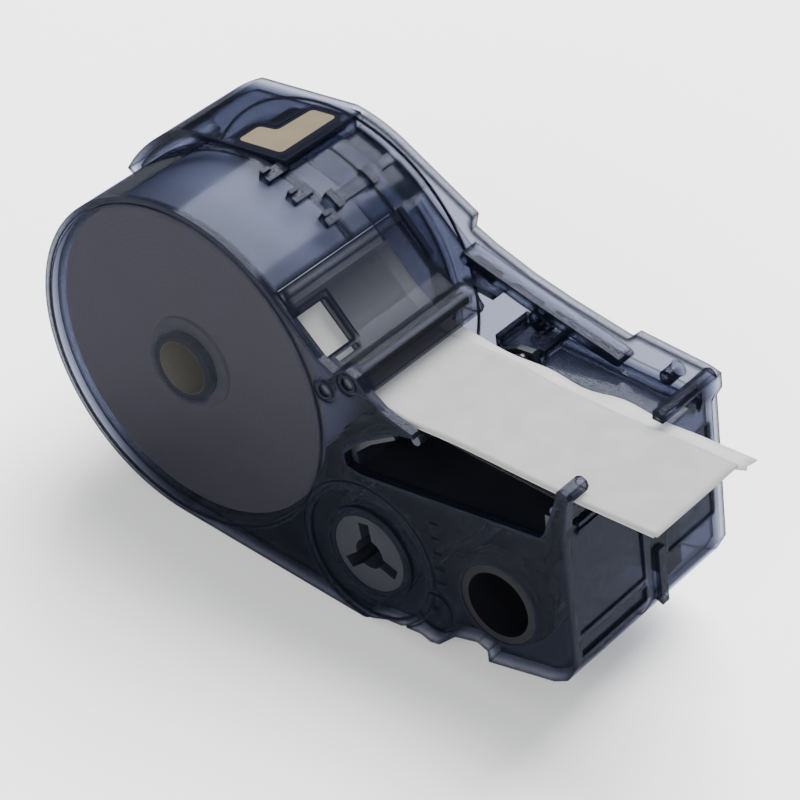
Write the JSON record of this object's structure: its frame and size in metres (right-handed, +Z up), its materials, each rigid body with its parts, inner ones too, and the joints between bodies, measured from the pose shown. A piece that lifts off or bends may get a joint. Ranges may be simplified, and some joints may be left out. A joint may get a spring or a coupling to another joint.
{
  "type": "label printer cartridge",
  "caption": "Translucent label printer cartridge with a label roll in a round drum, an inked ribbon on two spools, a print-head trough and a label strip held by two fingers.",
  "frame": {"origin": "axis of the label core at the front face", "axes": "+X towards the tail and the strip's free end, +Y from the front face to the back face, +Z up with the cartridge standing on its long edge"},
  "size_m": [0.1108, 0.0365, 0.0577],
  "materials": {
    "smoke_plastic": "smoke-blue translucent, polished",
    "dark_plastic": "dark smoke, satin",
    "core_plastic": "warm grey, moulded",
    "spool_plastic": "black, moulded",
    "takeup_plastic": "smoke grey, moulded",
    "label": "white vinyl label stock, satin",
    "liner": "pale coated release liner",
    "ribbon": "black thermal transfer film, glossy",
    "steel": "ground pins",
    "felt": "grey felt",
    "circuit_board": "solder-masked board",
    "contact_plate": "beige contact pad, satin"
  },
  "bodies": {
    "case": {"front_shell": "smoke_plastic", "rear_shell": "smoke_plastic", "tape_cover": "smoke_plastic", "ribbon_frame": "dark_plastic", "roll_guard": "dark_plastic", "head_trough": "dark_plastic", "label_strip": "label", "liner_strip": "liner", "core_brake_washer": "felt", "supply_drag_washer": "felt", "takeup_drag_washer": "felt", "ribbon_film": "ribbon", "ribbon_guide_pins": "steel", "tape_pin": "steel", "tape_back_pin": "steel", "chip_holder": "dark_plastic", "chip_board": "circuit_board", "chip_contacts": "contact_plate"},
    "label_spool": {"label_core": "core_plastic", "label_roll": "liner"},
    "ribbon_supply": {"ribbon_supply_core": "spool_plastic", "ribbon_supply_winding": "ribbon"},
    "ribbon_takeup": {"ribbon_takeup_core": "takeup_plastic", "ribbon_takeup_winding": "ribbon"}
  },
  "joints": [
    {"name": "label_spin", "type": "hinge", "parent": "case", "child": "label_spool", "pos_m": [0, 0, 0], "axis": [0, 1, 0], "continuous": true},
    {"name": "takeup_spin", "type": "hinge", "parent": "case", "child": "ribbon_takeup", "pos_m": [0.03619, 0, -0.01526], "axis": [0, -1, 0], "continuous": true},
    {"name": "supply_spin", "type": "hinge", "parent": "case", "child": "ribbon_supply", "pos_m": [0.05949, 0, -0.01094], "axis": [0, -1, 0], "continuous": true}
  ],
  "couplings": [
    {"joint": "supply_spin", "follows": "takeup_spin", "ratio": 0.962}
  ]
}
